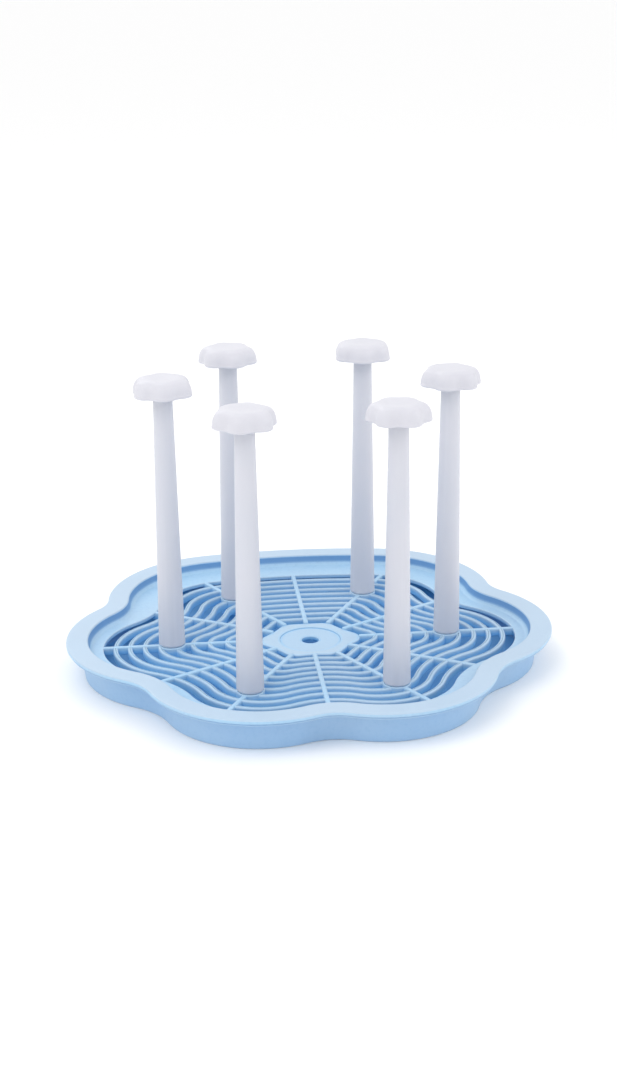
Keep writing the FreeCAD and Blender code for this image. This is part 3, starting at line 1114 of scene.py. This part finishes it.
@dataclass
class FlowerCap:
    """One six-petalled cap, pushed into a peg by its stem."""

    number: int
    turn: float

    LEVELS = (
        CapLevel(0.0, 18.6, 7.2, 9.0),
        CapLevel(5.0, 17.9, 7.0, 9.5),
        CapLevel(8.6, 15.8, 6.4, 14.0),
        CapLevel(10.1, 12.4, 5.6, 30.0),
    )
    # radius and level of the shallow dip in the middle of the dome
    CROWN = ((9.4, 10.15), (7.6, 10.02), (5.6, 9.86), (3.6, 9.74), (1.8, 9.66), (0.5, 9.64))

    def outline(self, height: float) -> tuple[Outline, float]:
        """Outline of the dome part of the way up.

        Args:
            height: 0 at the foot, 3 at the top.

        Returns:
            The outline and its level.
        """
        last = len(self.LEVELS) - 1
        index = min(int(height), last - 1)
        share = height - index
        around = [self.LEVELS[min(max(index + step, 0), last)] for step in (-1, 0, 1, 2)]

        def blend(name: str) -> float:
            """Smooth curve through one measure of the four levels around."""
            a, b, c, d = [getattr(level, name) for level in around]
            bend = 2 * a - 5 * b + 4 * c - d
            twist = 3 * (b - c) + d - a
            return b + 0.5 * share * (c - a + share * (bend + share * twist))

        place = on_circle(PEG_RING, LOBE_STEP * (self.number - 1))
        tip, lobe_arc, hollow_arc = blend("tip"), blend("lobe_arc"), blend("hollow_arc")
        outline = Outline(
            tuple(Lobe(60 * lobe, tip, lobe_arc) for lobe in range(LOBES)), (hollow_arc,) * LOBES,
            back_bows_out=False, centre=place, turn=math.radians(self.turn), lobe_steps=16, side_steps=8,
        )
        return outline, PEG_TOP + blend("level")

    def build(self, material: bpy.types.Material) -> bpy.types.Object:
        """Make the cap.

        Args:
            material: Finish shared by the caps.

        Returns:
            The piece.
        """
        shape = Shape()
        foot, _ = self.outline(0)
        # painted highlight, partly worn: the skirt's edge paler
        skirt = rounded([
            Corner(1.4, PEG_TOP),
            Corner(0.0, PEG_TOP, 0.7, Edge.HIGHLIT_AND_WORN),
            Corner(0.05, PEG_TOP + 1.6),
        ])
        underside, below = shape.sweep(foot, skirt)
        rings = 14
        lowest, highest = 0.4, len(self.LEVELS) - 1
        for step in range(rings + 1):
            height = lowest + (highest - lowest) * step / rings
            outline, level = self.outline(height)
            loop, _ = shape.sweep(outline, [Corner(0.0, level)])
            shape.bridge(below, loop)
            below = loop
        steps = LOBES * (foot.lobe_steps + foot.side_steps)
        middle = Ring(foot.centre, steps)
        crown = [Corner(radius, PEG_TOP + level) for radius, level in self.CROWN]
        outer, top = shape.sweep(middle, crown)
        shape.bridge(below, outer)
        shape.cover(top)
        # painted shade: the groove's corners darker
        groove = rounded([
            Corner(GROOVE_OUTER + 0.9, PEG_TOP),
            Corner(GROOVE_OUTER, PEG_TOP, 0.3),
            Corner(GROOVE_OUTER, PEG_TOP + GROOVE_DEPTH, 0.5, Edge.RECESS),
            Corner(GROOVE_INNER, PEG_TOP + GROOVE_DEPTH, 0.5, Edge.RECESS),
            Corner(GROOVE_INNER, PEG_TOP, 0.3),
            Corner(STEM_RADIUS, PEG_TOP, 0.1),
            Corner(STEM_RADIUS, PEG_TOP - STEM_LENGTH, 0.5),
            Corner(0.5, PEG_TOP - STEM_LENGTH),
        ])
        outer, stem = shape.sweep(middle, groove)
        shape.bridge(underside, outer)
        shape.cover(stem)
        name = f"cap_{self.number}"
        return shape.finish(name + "_flower", name, name, Slot.CAP, material)


@dataclass
class DryingRack:
    """The whole rack."""

    cap_turns: tuple = (8, 24, 47, 33, 15, 52)
    peg_finish: FrostedPlastic = field(default_factory=lambda: FrostedPlastic(
        "peg_frost", body=linear(206, 207, 215), cool=linear(200, 204, 214), pale=linear(216, 217, 224),
    ))
    cap_finish: WhitePlastic = field(default_factory=lambda: WhitePlastic(
        "cap_white", body=linear(205, 205, 213), shade=linear(182, 183, 198), pale=linear(212, 212, 219),
    ))

    def build(self) -> None:
        """Make every piece."""
        DripTray().build()
        DrainGrid().build()
        frost = self.peg_finish.material()
        white = self.cap_finish.material()
        for number, turn in enumerate(self.cap_turns, 1):
            Peg(number).build(frost)
            FlowerCap(number, turn).build(white)


@dataclass
class Studio:
    """Pale floor, soft lights and the camera, in metres and degrees."""

    target: Vector = field(default_factory=lambda: Vector((0, 0, 0.0157)))
    floor_half: float = 20.0
    elevation: float = 19.55
    yaw: float = 5.89
    roll: float = -0.58
    distance: float = 1.0658
    shift_left: float = 0.00047
    shift_up: float = 0.06029
    lens: float = 57.227
    sensor: float = 36.0

    def floor(self) -> None:
        """Add the plain floor."""
        graph = Graph("floor_white")
        material = graph.shade({
            "Base Color": linear(250, 250, 250),
            "Roughness": 0.9,
            "Specular IOR Level": 0.1,
        })
        bm = bmesh.new()
        bmesh.ops.create_grid(bm, x_segments=1, y_segments=1, size=self.floor_half)
        mesh = bpy.data.meshes.new("floor")
        bm.to_mesh(mesh)
        bm.free()
        mesh.materials.append(material)
        floor = bpy.data.objects.new("floor", mesh)
        bpy.context.scene.collection.objects.link(floor)

    def world(self, strength: float) -> None:
        """Light everything evenly.

        Args:
            strength: Strength of the even light.
        """
        world = bpy.data.worlds.new("studio")
        world.use_nodes = True
        background = world.node_tree.nodes["Background"]
        background.inputs["Color"].default_value = (1.0, 1.0, 1.0, 1.0)
        background.inputs["Strength"].default_value = strength
        bpy.context.scene.world = world

    def lamp(self, name: str, place: Vector, width: float, power: float, colour: tuple) -> None:
        """Add a square soft light that faces the rack.

        Args:
            name: Name of the light.
            place: Where it stands, in metres.
            width: Its side.
            power: Its power in watts.
            colour: Its colour.
        """
        light = bpy.data.lights.new(name, "AREA")
        light.size = width
        light.energy = power
        light.color = colour
        lamp = bpy.data.objects.new(name, light)
        lamp.location = place
        lamp.rotation_mode = "QUATERNION"
        lamp.rotation_quaternion = (self.target - place).to_track_quat("-Z", "Y")
        bpy.context.scene.collection.objects.link(lamp)

    def camera(self) -> None:
        """Add the camera: in front of the rack, above it and a little to the left of its middle."""
        elevation = math.radians(self.elevation)
        yaw = math.radians(self.yaw)
        roll = math.radians(self.roll)
        right = Vector((math.cos(yaw), -math.sin(yaw), 0))
        back = Vector((-math.sin(yaw) * math.cos(elevation), -math.cos(yaw) * math.cos(elevation),
                       math.sin(elevation)))
        up = back.cross(right)
        data = bpy.data.cameras.new("camera")
        data.sensor_width = self.sensor
        data.lens = self.lens
        data.clip_start = 0.05
        data.clip_end = 60.0
        camera = bpy.data.objects.new("camera", data)
        turn = Matrix((right, up, back)).transposed().to_4x4()
        place = self.target + back * self.distance - right * self.shift_left + up * self.shift_up
        camera.matrix_world = Matrix.Translation(place) @ turn @ Matrix.Rotation(roll, 4, "Z")
        bpy.context.scene.collection.objects.link(camera)
        bpy.context.scene.camera = camera

    def build(self) -> None:
        """Set up the studio."""
        self.floor()
        self.world(1.03)
        self.lamp("key", Vector((-0.9, -0.7, 1.6)), 1.2, 8.0, (1.0, 0.99, 0.98))
        self.lamp("back_left", Vector((-0.6, 1.4, 1.2)), 1.0, 4.0, (0.98, 0.99, 1.0))
        self.lamp("right", Vector((1.5, -0.2, 0.9)), 1.0, 4.0, (0.97, 0.98, 1.0))
        self.camera()
        bpy.context.scene.view_settings.view_transform = "Standard"


def main() -> None:
    """Build the rack and its studio."""
    DryingRack().build()
    Studio().build()


if __name__ == "__main__":
    main()
